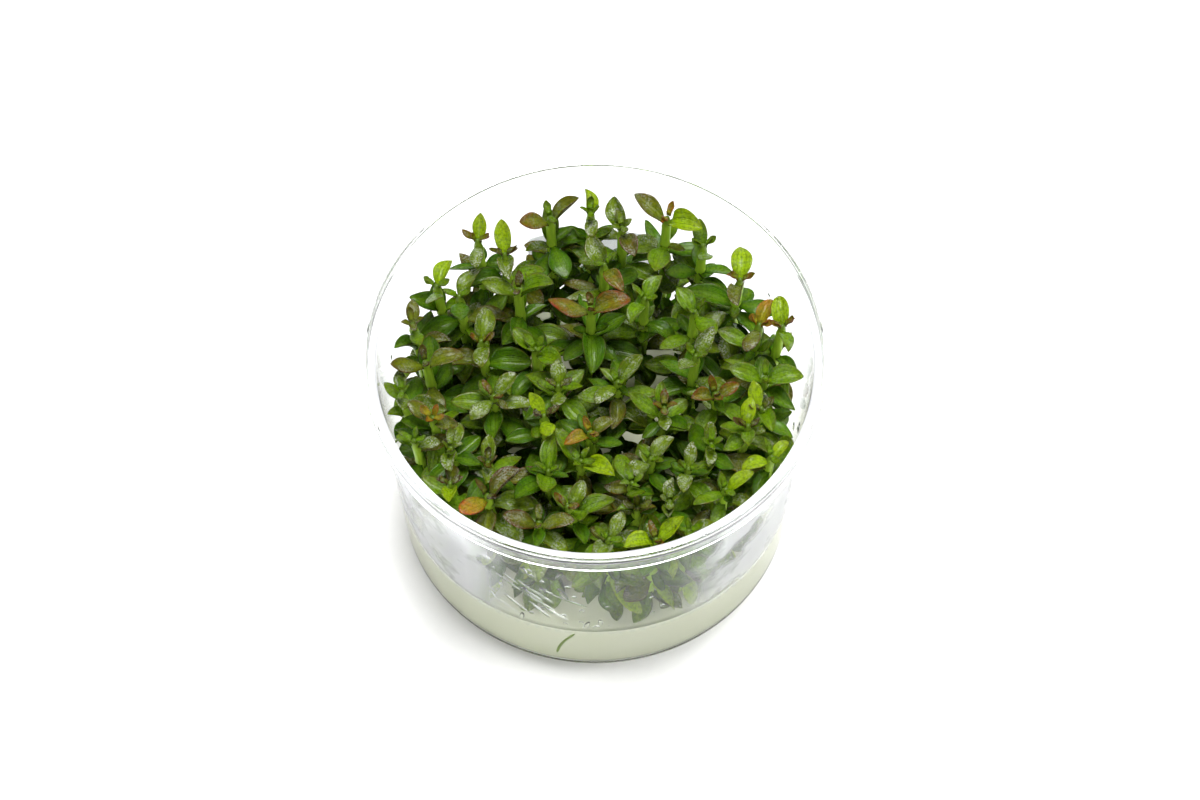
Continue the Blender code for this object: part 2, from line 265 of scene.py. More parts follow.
def make_cup():
    under_flange = STEP_HEIGHT - WALL
    skirt_inside = RIM_RADIUS - SKIRT_WALL
    inside_top = inner_radius(STEP_HEIGHT)
    inside_low = inner_radius(BASE_CORNER)
    corners = [
        (0, FOOT_RISE, 0),
        (FOOT_RING - FOOT_RISE, FOOT_RISE, 0.4 * MM),
        (FOOT_RING, 0, 0.15 * MM),
        (BASE_RADIUS - 0.17 * MM, 0, CORNER_FILLET),
        (wall_radius(under_flange), under_flange, EDGE_FILLET),
        (skirt_inside, under_flange, EDGE_FILLET),
        (skirt_inside, SKIRT_FOOT, EDGE_FILLET),
        (RIM_RADIUS, SKIRT_FOOT, EDGE_FILLET),
        (RIM_RADIUS, CUP_HEIGHT, LIP_FILLET),
        (skirt_inside, CUP_HEIGHT, LIP_INNER_FILLET),
        (skirt_inside - STEP_FILLET, STEP_HEIGHT, STEP_FILLET),
        (inside_top, STEP_HEIGHT, STEP_FILLET),
        (inside_low - 0.1 * MM, WALL, INNER_CORNER_FILLET),
        (0, WALL, 0),
    ]
    cup = turned("culture_cup", rounded(corners), CUP_STEPS)
    wall = clear_polystyrene("clear_polystyrene", WALL_IOR, WALL_SHINE, WALL_MIST_AND_REFLECTION)
    rim = clear_polystyrene("rim_polystyrene", RIM_IOR, RIM_SHINE, 0.0)
    for material in (wall, scuffed_polystyrene(), rim):
        cup.data.materials.append(material)
    for face in cup.data.polygons:
        radius = math.hypot(face.center.x, face.center.y)
        on_step = abs(face.center.z - STEP_HEIGHT) < 0.2 * MM and radius < skirt_inside
        on_rim = radius > STEP_RADIUS + 0.1 * MM
        on_foot = face.center.z < 0.9 * MM or (face.center.z < BASE_CORNER and radius > inside_low)
        face.material_index = 1 if on_step else 2 if on_rim or on_foot else 0
    cup.visible_shadow = False
    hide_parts("cup")


make_cup()


# The label
# A small sticker of satin film on the outside of the back wall, seen through the wall between the
# shoots. It follows the wall's curve and has rounded corners.

LABEL_LOW = 22.0 * MM
LABEL_HIGH = 40.0 * MM
LABEL_HALF_WIDTH = 15.0 * MM
LABEL_CORNER = 1.5 * MM
LABEL_LIFT = 0.3 * MM
LABEL_THICKNESS = 0.12 * MM
LABEL_STEPS = 30


def satin_film():
    """Bare polypropylene film: satin, off white, with a soft grain, and light shows through."""
    material = blank_material("satin_film")
    colour = grained(material, 0.9, 4, "#F0F1F2", "#FAFBFA")
    shader = add(material, "BsdfPrincipled", {
        "Base Color": colour,
        "Roughness": 0.45,
        "IOR": 1.49,
    })
    lit_through = add(material, "BsdfTranslucent", {"Color": colour})
    film = add(material, "MixShader", {0: 0.7, 1: shader, 2: lit_through})
    add(material, "OutputMaterial", {"Surface": film})
    return material


def make_label():
    """Columns of four points, low and high, inside and outside, that shorten at the corners."""
    half_turn = LABEL_HALF_WIDTH / BASE_RADIUS
    points = []
    for i in range(LABEL_STEPS + 1):
        share = -math.cos(math.pi * i / LABEL_STEPS)
        from_end = (1 - abs(share)) * LABEL_HALF_WIDTH
        inset = max(0.0, LABEL_CORNER - from_end)
        cut = LABEL_CORNER - math.sqrt(LABEL_CORNER ** 2 - inset ** 2)
        turn = math.pi / 2 - share * half_turn
        for height in (LABEL_LOW + cut, LABEL_HIGH - cut):
            for lift in (LABEL_LIFT, LABEL_LIFT + LABEL_THICKNESS):
                radius = wall_radius(height) + lift
                points.append((radius * math.cos(turn), radius * math.sin(turn), height))
    order = (0, 1, 3, 2)
    faces = []
    for i in range(LABEL_STEPS):
        for k in range(4):
            a, b = order[k], order[(k + 1) % 4]
            faces.append((4 * i + a, 4 * i + 4 + a, 4 * i + 4 + b, 4 * i + b))
    last = 4 * LABEL_STEPS
    faces.append(order)
    faces.append(tuple(last + k for k in reversed(order)))
    label = skin_mesh("wall_label", points, faces, SHARP_EDGE)
    label.data.materials.append(satin_film())
    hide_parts("label")


make_label()


# The gel
# Nutrient agar, poured hot and set in the cup: a pale, cloudy, soft solid that wets the wall in a
# thin meniscus. The shoots root in it.

GEL_GAP = -0.02 * MM
MENISCUS = 0.9 * MM
GEL_STEPS = 120


def nutrient_agar():
    """Agar set from a nutrient broth: cloudy, straw to green, wet on top."""
    material = blank_material("nutrient_agar")
    place = add(material, "TexCoord")
    ripple = add(material, "TexNoise", {"Vector": place.outputs["Object"], "Scale": 0.26 / MM,
                                        "Detail": 2})
    bump = add(material, "Bump", {"Height": ripple, "Distance": 0.2 * MM, "Strength": 0.25})
    shader = add(material, "BsdfPrincipled", {
        "Base Color": grained(material, 0.06, 3, "#F2F6D2", "#FCFEE8"),
        "Roughness": 0.25,
        "IOR": 1.34,
        "Transmission Weight": 0.5,
        "Normal": bump,
    })
    add(material, "OutputMaterial", {"Surface": shader})
    return material


def make_gel():
    edge = inner_radius(GEL_TOP) - GEL_GAP
    low = inner_radius(BASE_CORNER) - GEL_GAP
    rim = GEL_TOP + MENISCUS
    corners = [
        (0, WALL + GEL_GAP, 0),
        (low, WALL + GEL_GAP, 1.9 * MM),
        (inner_radius(rim) - GEL_GAP, rim, 0.05 * MM),
        (edge - 0.9 * MM, GEL_TOP, 0.9 * MM),
        (0, GEL_TOP, 0),
    ]
    gel = turned("agar_gel", rounded(corners), GEL_STEPS)
    gel.data.materials.append(nutrient_agar())
    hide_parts("gel")


make_gel()


# The strand
# A loose, fleshy green root that has grown down between the gel and the front of the wall, where it
# lies pressed to the plastic.

STRAND_FROM = (-4.3 * MM, 17.2 * MM)
STRAND_TO = (-8.5 * MM, 4.5 * MM)
STRAND_BEND = 0.8 * MM
STRAND_DEPTH = 0.1 * MM
STRAND_RADIUS = 0.4 * MM
STRAND_RING = 8
STRAND_SECTIONS = 14


def green_root():
    """A fleshy green root, wet and smooth."""
    material = blank_material("green_root")
    shader = add(material, "BsdfPrincipled", {
        "Base Color": grained(material, 0.6, 2, "#4C6612", "#6C8426"),
        "Roughness": 0.35,
        "IOR": 1.4,
    })
    add(material, "OutputMaterial", {"Surface": shader})
    return material


def make_strand():
    points = []
    faces = []
    centres = []
    for i in range(STRAND_SECTIONS + 1):
        t = i / STRAND_SECTIONS
        x = STRAND_FROM[0] + t * (STRAND_TO[0] - STRAND_FROM[0])
        x -= STRAND_BEND * math.sin(math.pi * t)
        z = STRAND_FROM[1] + t * (STRAND_TO[1] - STRAND_FROM[1])
        reach = inner_radius(z) - STRAND_DEPTH
        centres.append(Vector((x, -math.sqrt(reach ** 2 - x ** 2), z)))
    along = (centres[-1] - centres[0]).normalized()
    across = along.cross(Vector((0, 1, 0))).normalized()
    other = along.cross(across)
    for i, centre in enumerate(centres):
        t = i / STRAND_SECTIONS
        radius = STRAND_RADIUS * math.sqrt(max(1 - (2 * t - 1) ** 8, 0.04))
        for k in range(STRAND_RING):
            turn = 2 * math.pi * k / STRAND_RING
            points.append(centre + (across * math.cos(turn) + other * math.sin(turn)) * radius)
    for i in range(STRAND_SECTIONS):
        for k in range(STRAND_RING):
            a = i * STRAND_RING + k
            b = i * STRAND_RING + (k + 1) % STRAND_RING
            faces.append((a, a + STRAND_RING, b + STRAND_RING, b))
    last = STRAND_SECTIONS * STRAND_RING
    faces.append(tuple(range(STRAND_RING)))
    faces.append(tuple(last + k for k in reversed(range(STRAND_RING))))
    strand = skin_mesh("green_strand", points, faces, smooth_below=60)
    strand.data.materials.append(green_root())


make_strand()


# The shoots
# Young bacopa grown in the cup. Each is one grown piece: a fleshy stem and pairs of thick oval
# leaves clasping it, every pair turned a right angle from the next, with small buds at the tip.

STEM_RING = 12
STEM_SECTIONS = 34
STEM_RADIUS = 1.12 * MM
CROWN_TAPER = 3.5 * MM
LEAF_RING = 16
LEAF_SECTIONS = 15
LEAF_THICKNESS = 0.42 * MM
NODE_HEIGHT = 1.4 * MM
INTERNODE = 7.8 * MM
ROOTED_DEPTH = 4.0 * MM
ROOT_RADIUS = 0.22 * MM
ROOT_RING = 5
ROOT_SECTIONS = 9
ROOT_STEP = 1.5 * MM
LOW_LEAF = 7.6 * MM
FRONT_LEAF = 8.6 * MM
FRONT_ROW = -19.0 * MM
FRONT_HEIGHTS = (3.5 * MM, 8.0 * MM, 12.5 * MM, 17.0 * MM, 21.5 * MM)
AXIL_LEAF = 4.4 * MM
AXIL_SHARE = 0.45
TIP_LEAF = 3.2 * MM
LEAF_SIZES = (0.7, 1.25)
SLIMNESS = (0.7, 0.9)
FOLDS = (-0.3, 0.2, 0.5, 0.7, 1.0, 1.3)
LOWEST_NODE = 3.5 * MM
LOW_CLEARANCE = 0.35 * MM
SHARP_CORNER = math.radians(255)
ROOTS = 3

# The slopes, in radians, that an added leaf tries in turn, each with its swings to the side
LOW_SLOPES = (-0.2, -0.7, 0.3, -1.1)
BETWEEN_SLOPES = (0.1, 0.5, -0.4, 0.9)
UPPER_SLOPES = (0.5, 0.9, 0.1, -0.5)
AXIL_SLOPES = (0.7, 1.0, 0.4)
FRONT_SLOPES = (-0.6, -0.2, -1.0, 0.3)
SWINGS = (0.0, 0.35, -0.35)

# A tone's last value is how much painted silvery sheen its leaves get
Tone = namedtuple("Tone", "body flush amount bloom")
TONES = {
    "l": Tone("#98BC08", "#A09614", 0.40, 0.12),
    "g": Tone("#689604", "#6A5810", 0.55, 0.20),
    "d": Tone("#447802", "#4A4C08", 0.50, 0.06),
    "s": Tone("#66840E", "#6E6820", 0.60, 1.00),
    "b": Tone("#68740E", "#623C14", 0.85, 0.50),
    "r": Tone("#68760E", "#922C14", 1.00, 0.40),
    "p": Tone("#52580E", "#60261E", 1.00, 0.60),
    "o": Tone("#9C961C", "#B84C14", 1.00, 0.25),
}
STEM_TONE = Tone("#BCDC3C", "#BCDC3C", 0.5, 0.0)
ROOT_TONE = Tone("#E4E0C0", "#E4E0C0", 0.5, 0.0)

# Each shoot's tones by letter, from shoot_01 on: its buds, then the leaves of its first full pair
# that point right, back, left and to the front
LOOKS = """
rglgs pglgs gbbrb gglgs ssssp ollbr gbggg gglgg ggsgd rlllb pggsg gssgr
obopb rglgg bbbbg pbbbb rbsbs ggsgg rrrrr ggggg ggggg bssss gssss rssgs
rgggs gssss rrgrg gglgg bblgg gssss obsbs pllll gssgs sssss pssss pspsl
pppob ggggg bbbpb rbsbs obsob glggl gssgs bbggb gssss ggggg rlllr sssss
gssss gssgs gssbs glggg pglgg gllll
""".split()
# Leaves low on the stems take the dark tone more often: painted shade for leaves under the canopy
LOWER_TONES = "gdgddgdsbd"
FRONT_TONES = "gdglgl"


def welded(obj):
    """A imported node's points with doubles joined, and its triangles."""
    obj.data.calc_loop_triangles()
    index = {}
    joined = []
    for vertex in obj.data.vertices:
        key = tuple(round(value, 6) for value in vertex.co)
        joined.append(index.setdefault(key, len(index)))
    triangles = []
    for triangle in obj.data.loop_triangles:
        corners = tuple(joined[i] for i in triangle.vertices)
        if len(set(corners)) == 3:
            triangles.append(corners)
    return [Vector(key) for key in index], triangles


def around(point, triangles):
    """The points next to one point, in the order they go round it."""
    following = {}
    for corners in triangles:
        if point in corners:
            k = corners.index(point)
            following[corners[(k + 1) % 3]] = corners[(k + 2) % 3]
    ring = [next(iter(following))]
    while following.get(ring[-1], ring[0]) != ring[0]:
        ring.append(following[ring[-1]])
    return ring


Station = namedtuple("Station", "centre across half_width")


def station(points, ring, flat=False):
    """A ring of four corners as its centre, the way across the blade, and half its width."""
    a, b, c, d = [points[i] for i in ring]
    one = ((b - a) + (c - d)) / 2
    other = ((c - b) + (d - a)) / 2
    if flat:
        across = one if abs(one.z) < abs(other.z) else other
    else:
        across = one if one.length > other.length else other
    return Station((a + b + c + d) / 4, across.normalized(), across.length / 2)


Leaf = namedtuple("Leaf", "level heading stations tip")


def read_shoot(obj):
    """Finds the stem's foot and top, and each leaf's stations and tip, in a packed shoot."""
    points, triangles = welded(obj)
    touching = [[] for _ in points]
    for corners in triangles:
        for point in corners:
            touching[point].append(corners)
    floor = min(point.z for point in points)
    foot_ring = [point for point in points if point.z < floor + 0.01 * MM]
    foot = sum(foot_ring, Vector()) / len(foot_ring)
    found = []
    for i, corners in enumerate(touching):
        if len(corners) != 4 or points[i].z < floor + 1 * MM:
            continue
        angles = 0.0
        for triangle in corners:
            ends = [points[j] - points[i] for j in triangle if j != i]
            angles += ends[0].angle(ends[1])
        if angles > SHARP_CORNER:
            continue
        last = {i}
        ring = around(i, corners)
        stations = []
        while ring:
            heights = sorted(points[j].z for j in ring)
            at_stem = abs(heights[0] - heights[1]) < 0.01 * MM
            at_stem = at_stem and abs(heights[2] - heights[1] - NODE_HEIGHT) < 0.02 * MM
            stations.append(station(points, ring, flat=at_stem))
            if at_stem:
                break
            beyond = {j for k in ring for c in touching[k] for j in c} - set(ring) - last
            last = set(ring)
            if len(beyond) != 4:
                ring = None
                break
            ring = [next(iter(beyond))]
            while len(ring) < 4:
                linked = {j for c in touching[ring[-1]] for j in c}
                ring.append(min((linked & beyond) - set(ring),
                                key=lambda j: (points[j] - points[ring[-1]]).length))
        if ring:
            found.append((points[i], stations[::-1]))
    levels = sorted({round(s[0].centre.z, 5) for _, s in found}, reverse=True)
    centres = {}
    for tip, stations in found:
        centres.setdefault(round(stations[0].centre.z, 5), []).append(stations[0].centre)
    paired = [level for level in levels if len(centres[level]) == 2]
    top = sum(centres[paired[0]], Vector()) / 2
    axis = (top - foot) / (top.z - foot.z)
    leaves = []
    for tip, stations in found:
        root = stations[0].centre
        out = root - foot - axis * (root.z - foot.z)
        out.z = 0
        heading = out.normalized()
        side = Vector((0, 0, 1)).cross(heading)
        turned_stations = [
            s if s.across.dot(side) > 0 else Station(s.centre, -s.across, s.half_width)
            for s in stations
        ]
        leaves.append(Leaf(levels.index(round(root.z, 5)), heading, turned_stations, tip))
    crown = foot + axis * (levels[0] + NODE_HEIGHT / 2 - foot.z)
    return foot, crown, leaves, levels, (points, triangles)


def smooth_through(shares, values, at):
    """The value at a share of the way along, on the polynomial through the given ones."""
    total = values[0] * 0.0
    for i, value in enumerate(values):
        weight = 1.0
        for j, share in enumerate(shares):
            if j != i:
                weight *= (at - share) / (shares[i] - share)
        total = total + value * weight
    return total


class Growth:
    """Gathers one shoot's skins, and what its materials read at each point."""

    def __init__(self):
        self.points = []
        self.faces = []
        self.slots = []
        self.body = []
        self.flush = []
        self.place = []

    def add_tube(self, rings, tone, slot, flush_at=lambda row, k: 0,
                 place_at=lambda row, k: (0, 0, 0)):
        """Skins rings of points; the first and last are closed with a point at their middle."""
        start = len(self.points)
        count = len(rings[0])
        closed = [[sum(rings[0], Vector()) / count], *rings, [sum(rings[-1], Vector()) / count]]
        starts = []
        for i, ring in enumerate(closed):
            starts.append(start)
            row = min(max(i - 1, 0), len(rings) - 1)
            for k, point in enumerate(ring):
                self.points.append(point)
                self.body.append(srgb(tone.body))
                self.flush.append((*srgb(tone.flush)[:3], flush_at(row, k)))
                self.place.append(place_at(row, k))
            start += len(ring)
        for i, (low, high) in enumerate(itertools.pairwise(starts)):
            low_count = len(closed[i])
            high_count = len(closed[i + 1])
            for k in range(count):
                j = (k + 1) % count
                corners = [low + k % low_count, low + j % low_count]
                corners += [high + j % high_count, high + k % high_count]
                self.faces.append(tuple(dict.fromkeys(corners)))
                self.slots.append(slot)

    def finish(self, name, materials):
        obj = skin_mesh(name, self.points, self.faces)
        mesh = obj.data
        for material in materials:
            mesh.materials.append(material)
        mesh.polygons.foreach_set("material_index", self.slots)
        for label, kind, rows in (
            ("body", "FLOAT_COLOR", self.body),
            ("flush", "FLOAT_COLOR", self.flush),
            ("place", "FLOAT_VECTOR", self.place),
        ):
            layer = mesh.attributes.new(label, kind, "POINT")
            field = "vector" if kind == "FLOAT_VECTOR" else "color"
            layer.data.foreach_set(field, np.array(rows, dtype=np.float32).ravel())
        return obj


def blade_rings(stations, tip, thickness, rng, bud=False):
    """The sections of a leaf: widest past its middle, folded at the midrib, twisted and curled."""
    fold = rng.uniform(0.2, 0.5) if bud else rng.choice(FOLDS)
    ripple = rng.uniform(0.03, 0.10)
    shares = {2: (0.0, 1.0), 3: (0.0, 0.56, 1.0), 4: (0.0, 0.30, 0.76, 1.0)}[len(stations) + 1]
    centres = [s.centre for s in stations] + [tip]
    sides = [s.across for s in stations] + [stations[-1].across]
    full = {1: 1.0, 2: 1.0, 3: 0.92}[len(stations)]
    half = max(s.half_width for s in stations[1:]) / full * rng.uniform(*SLIMNESS)
    root = stations[0].half_width
    phase = rng.uniform(0, 6.28)
    lean = rng.uniform(-0.2, 0.2)
    twist = rng.uniform(-0.6, 0.6)
    blunt = rng.uniform(0.55, 0.85)
    curl = rng.choice((-0.14, 0.05, 0.18, 0.32)) * (tip - centres[0]).length
    rings = []
    for i in range(LEAF_SECTIONS):
        t = (i / (LEAF_SECTIONS - 1)) ** 0.92 * 0.992
        centre = smooth_through(shares, centres, t)
        ahead = smooth_through(shares, centres, min(t + 0.02, 1.0))
        behind = smooth_through(shares, centres, max(t - 0.02, 0.0))
        along = (ahead - behind).normalized()
        across = smooth_through(shares, sides, t)
        across = (across - along * across.dot(along)).normalized()
        across = Matrix.Rotation(twist * t, 3, along) @ across
        upper = along.cross(across)
        centre = centre - upper * curl * t ** 2.5
        oval = max(math.sin(math.pi * t ** 1.12), 0.0) ** blunt * half
        width = math.sqrt(oval ** 2 + (root * (1 - t) ** 3) ** 2)
        depth = thickness * (1.35 - 0.75 * t) * min(1.0, (1.02 - t) * 7)
        ring = []
        for k in range(LEAF_RING):
            turn = 2 * math.pi * k / LEAF_RING
            u = math.cos(turn)
            side = math.copysign(abs(u) ** 0.8, u)
            wave = ripple * math.sin(8 * t + phase + 2.0 * side) * side ** 2
            rise = fold * (1 - 0.4 * t) * abs(side) ** 1.4 + lean * side + wave
            groove = -0.08 * math.exp(-(side / 0.13) ** 2) if math.sin(turn) > 0 else 0.0
            swell = 0.05 * math.sin(3 * math.pi * abs(side)) * (math.sin(turn) > 0)
            lift = (rise + groove + swell) * width * min(1, 4 * t)
            height = lift + math.sin(turn) * depth / 2
            ring.append(centre + across * (side * width) + upper * height)
        rings.append(ring)
    return rings


def grow_leaf(growth, rings, tone, rng):
    """Adds a leaf, its flush strongest at the tip and margins."""
    amount = tone.amount * rng.uniform(0.75, 1.1)
    # How much painted silvery sheen this leaf gets; place_at spreads it, more towards the tip
    bloom = min(tone.bloom * rng.uniform(0.6, 1.2), 1.0)
    last = len(rings) - 1

    def flush_at(row, k):
        side = abs(math.cos(2 * math.pi * k / LEAF_RING))
        reach = row / last
        return min(1.0, amount * (0.1 + 0.75 * reach ** 1.5 + 0.6 * side ** 6))

    def place_at(row, k):
        reach = row / last
        return (math.cos(2 * math.pi * k / LEAF_RING), reach, bloom * (0.25 + 0.75 * reach))

    growth.add_tube(rings, tone, 0, flush_at, place_at)


def grow_stem(growth, foot, crown, levels, rng):
    """Adds the stem: rounded square, thicker at each node, its foot sunk in the gel."""
    bottom = foot.z - ROOTED_DEPTH
    heights = np.linspace(bottom, crown.z - 0.8 * MM, STEM_SECTIONS)
    bend = Vector((rng.uniform(-1, 1), rng.uniform(-1, 1), 0)) * 0.35 * MM
    rings = []
    for height in heights:
        share = (height - foot.z) / (crown.z - foot.z)
        held = min(max(share, 0.0), 1.0)
        centre = foot.lerp(crown, share) + bend * math.sin(2 * math.pi * held) * (1 - held)
        radius = (1.0 - 0.12 * share) * STEM_RADIUS
        radius *= 1 - 0.65 * max(0.0, 1 - (crown.z - height) / CROWN_TAPER)
        near = min(abs(height - level) for level in levels)
        radius *= 1 + 0.16 * math.exp(-(near / (1.0 * MM)) ** 2)
        ring = []
        for k in range(STEM_RING):
            turn = 2 * math.pi * k / STEM_RING
            square = 1 + 0.06 * math.cos(4 * turn)
            ring.append(centre + Vector((math.cos(turn), math.sin(turn), 0)) * radius * square)
        rings.append(ring)
    middle = sum(rings[-1], Vector()) / STEM_RING
    rise = Vector((0, 0, 0.35 * MM))
    rings.append([middle + (point - middle) * 0.6 + rise for point in rings[-1]])

    def crown_at(row, k):
        below = crown.z - rings[row][0].z
        return max(0.0, 1 - below / CROWN_TAPER)

    growth.add_tube(rings, STEM_TONE, 1, crown_at)


def grow_root(growth, foot, rng):
    """Adds one thread-like root that wanders down and out through the gel."""
    bearing = rng.uniform(0, 2 * math.pi)
    point = Vector((foot.x, foot.y, foot.z - rng.uniform(0.5, 0.9) * ROOTED_DEPTH))
    fall = rng.uniform(0.5, 1.2)
    rings = []
    for i in range(ROOT_SECTIONS):
        bearing += rng.uniform(-0.45, 0.45)
        along = Vector((math.cos(bearing), math.sin(bearing), -fall)).normalized()
        across = along.cross(Vector((0, 0, 1))).normalized()
        other = along.cross(across)
        radius = ROOT_RADIUS * (1 - 0.6 * i / ROOT_SECTIONS)
        ring = []
        for k in range(ROOT_RING):
            turn = -2 * math.pi * k / ROOT_RING
            ring.append(point + (across * math.cos(turn) + other * math.sin(turn)) * radius)
        rings.append(ring)
        step = point + along * ROOT_STEP
        step.z = max(step.z, WALL + 0.6 * MM)
        reach = math.hypot(step.x, step.y)
        limit = inner_radius(step.z) - 0.6 * MM
        if reach > limit:
            step.x *= limit / reach
            step.y *= limit / reach
            bearing += 0.6
        point = step
    growth.add_tube(rings, ROOT_TONE, 2)


def low_stations(foot, crown, height, bearing, length, droop):
    """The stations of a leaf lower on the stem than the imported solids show."""
    share = (height - foot.z) / (crown.z - foot.z)
    heading = Vector((math.cos(bearing), math.sin(bearing), 0))
    across = Vector((0, 0, 1)).cross(heading)
    root = foot.lerp(crown, share) + heading * 0.6 * MM
    down = Vector((0, 0, -1))
    middle_way = heading * math.cos(droop / 2) + down * math.sin(droop / 2)
    tip_way = heading * math.cos(droop) + down * math.sin(droop)
    middle = root + middle_way * 0.56 * length
    tip = middle + tip_way * 0.44 * length
    stations = [Station(root, across, 0.75 * MM), Station(middle, across, 0.33 * length)]
    return stations, tip


class Crowd:
    """The skins that stand in the cup, to keep each leaf that is added clear of them."""

    def __init__(self):
        self.points = []
        self.faces = []
        self.owners = []
        self.tree = None

    def add(self, points, faces, owner):
        start = len(self.points)
        self.points += points
        self.faces += [tuple(start + i for i in face) for face in faces]
        self.owners += [owner] * len(faces)

    def settle(self):
        self.tree = BVHTree.FromPolygons(self.points, self.faces)

    def is_clear(self, rings, owner):
        """The part of a leaf next to its own stem may touch its own shoot."""
        for i, ring in enumerate(rings[3::2]):
            for point in ring[::2]:
                inner = inner_radius(point.z) - 0.3 * MM
                if math.hypot(point.x, point.y) > inner or point.z < GEL_TOP + 0.3 * MM:
                    return False
                for _, _, index, _ in self.tree.find_nearest_range(point, LOW_CLEARANCE):
                    if self.owners[index] != owner or i > 2:
                        return False
        return True


def coarse_skin(rings):
    """A light version of a leaf's skin, for the search tree."""
    rows = [ring[::4] for ring in rings[::3]]
    points = [point for row in rows for point in row]
    faces = []
    for r in range(len(rows) - 1):
        for k in range(4):
            j = (k + 1) % 4
            faces.append((4 * r + k, 4 * r + j, 4 * r + 4 + j, 4 * r + 4 + k))
    return points, faces


def living_leaf():
    """A fleshy bacopa leaf: waxy green skin over fine veins, flushed with bronze and red at the
    tip, with a painted silvery sheen in specks and patches, standing in for the light caught by
    raised cells."""
    material = blank_material("living_leaf")
    body = add(material, "Attribute", attribute_name="body")
    flush = add(material, "Attribute", attribute_name="flush")
    place = add(material, "Attribute", attribute_name="place")
    split = add(material, "SeparateXYZ", {"Vector": place.outputs["Vector"]})
    where = add(material, "TexCoord").outputs["Object"]

    # Paler along the middle, and flushed in cloudy patches
    mottle = add(material, "TexNoise", {"Vector": where, "Scale": 0.7 / MM, "Detail": 4,
                                        "Roughness": 0.6})
    spread = add(material, "MapRange", {"Value": mottle, "From Min": 0.3, "From Max": 0.7,
                                        "To Min": 0.35, "To Max": 1.3})
    amount = add(material, "Math", {0: flush.outputs["Alpha"], 1: spread}, operation="MULTIPLY",
                 use_clamp=True)
    width = add(material, "Math", {0: split.outputs["X"]}, operation="ABSOLUTE")
    pale = add(material, "MapRange", {"Value": width, "From Max": 0.75, "To Min": 0.28,
                                      "To Max": 0.0})
    middle = add(material, "Mix", {"Factor": pale, "A": body.outputs["Color"],
                                   "B": srgb("#98B41C")}, data_type="RGBA")
    flushed = add(material, "Mix", {"Factor": amount, "A": middle, "B": flush.outputs["Color"]},
                  data_type="RGBA")

    # Veins run from base to tip, a sixth of the width apart, with finer ones between
    veins = []
    for count, depth in ((3, 0.30), (9, 0.5)):
        turn = add(material, "Math", {0: split.outputs["X"], 1: count * math.pi},
                   operation="MULTIPLY")
        wave = add(material, "Math", {0: turn}, operation="SINE")
        size = add(material, "Math", {0: wave}, operation="ABSOLUTE")
        veins.append(add(material, "MapRange", {"Value": size, "From Max": depth, "To Min": 1.0,
                                                "To Max": 0.0}))
    fine = add(material, "Math", {0: veins[1], 1: 0.45}, operation="MULTIPLY")
    vein = add(material, "Math", {0: veins[0], 1: fine}, operation="MAXIMUM")
    grain = add(material, "TexNoise", {"Vector": where, "Scale": 1.5 / MM, "Detail": 5,
                                       "Roughness": 0.7})
    darker = add(material, "MapRange", {"Value": grain, "From Min": 0.44, "From Max": 0.6,
                                        "To Max": 0.9})
    deepest = add(material, "Math", {0: vein, 1: darker}, operation="MAXIMUM")
    vein_depth = add(material, "Math", {0: deepest, 1: 0.6}, operation="MULTIPLY")
    veined = add(material, "Mix", {"Factor": vein_depth, "A": flushed, "B": srgb("#26400A")},
                 data_type="RGBA")

    # The margin is flushed dark red
    margin = add(material, "MapRange", {"Value": width, "From Min": 0.8, "From Max": 0.97,
                                        "To Max": 0.85})
    margin_share = add(material, "Math", {0: margin, 1: amount}, operation="MULTIPLY")
    rimmed = add(material, "Mix", {"Factor": margin_share, "A": veined, "B": srgb("#5A2410")},
                 data_type="RGBA")

    # Raised cells, about 0.3 mm, drawn coarser than life so that they show; they raise the bump,
    # and their specks carry a painted silvery sheen
    cells = add(material, "TexNoise", {"Vector": where, "Scale": 2.6 / MM, "Detail": 2})
    specks = add(material, "MapRange", {"Value": cells, "From Min": 0.47, "From Max": 0.57})
    patches = add(material, "TexNoise", {"Vector": where, "Scale": 0.42 / MM, "Detail": 2})
    patchy = add(material, "MapRange", {"Value": patches, "From Min": 0.42, "From Max": 0.62})
    speckled = add(material, "Math", {0: specks, 1: patchy}, operation="MULTIPLY")
    # Painted sheen: the specks, scaled by the leaf's sheen amount, mix silvery white into the
    # colour
    bloom = add(material, "Math", {0: speckled, 1: split.outputs["Z"]}, operation="MULTIPLY",
                use_clamp=True)
    painted_sheen_share = add(material, "Math", {0: bloom, 1: 0.8}, operation="MULTIPLY")
    sheen_painted = add(material, "Mix", {"Factor": painted_sheen_share, "A": rimmed, "B": srgb("#D6DCC8")},
                   data_type="RGBA")

    relief = add(material, "Math", {0: cells, 1: vein}, operation="SUBTRACT")
    bump = add(material, "Bump", {"Height": relief, "Distance": 0.12 * MM, "Strength": 0.8})
    rough = add(material, "MapRange", {"Value": mottle, "From Min": 0.3, "From Max": 0.7,
                                       "To Min": 0.2, "To Max": 0.36})
    shader = add(material, "BsdfPrincipled", {
        "Base Color": sheen_painted,
        "Roughness": rough,
        "IOR": 1.27,
        "Coat Weight": 0.16,
        "Coat Roughness": 0.07,
        "Normal": bump,
    })
    glow = add(material, "BsdfTranslucent", {"Color": veined, "Normal": bump})
    thin = add(material, "MixShader", {0: 0.34, 1: shader, 2: glow})
    add(material, "OutputMaterial", {"Surface": thin})
    return material


def living_root():
    """A young root: cream white, watery and a little see-through in the gel."""
    material = blank_material("living_root")
    shader = add(material, "BsdfPrincipled", {
        "Base Color": grained(material, 0.5, 2, "#C9C79C", "#E9E6CC"),
        "Roughness": 0.4,
        "IOR": 1.38,
        "Transmission Weight": 0.3,
    })
    add(material, "OutputMaterial", {"Surface": shader})
    return material


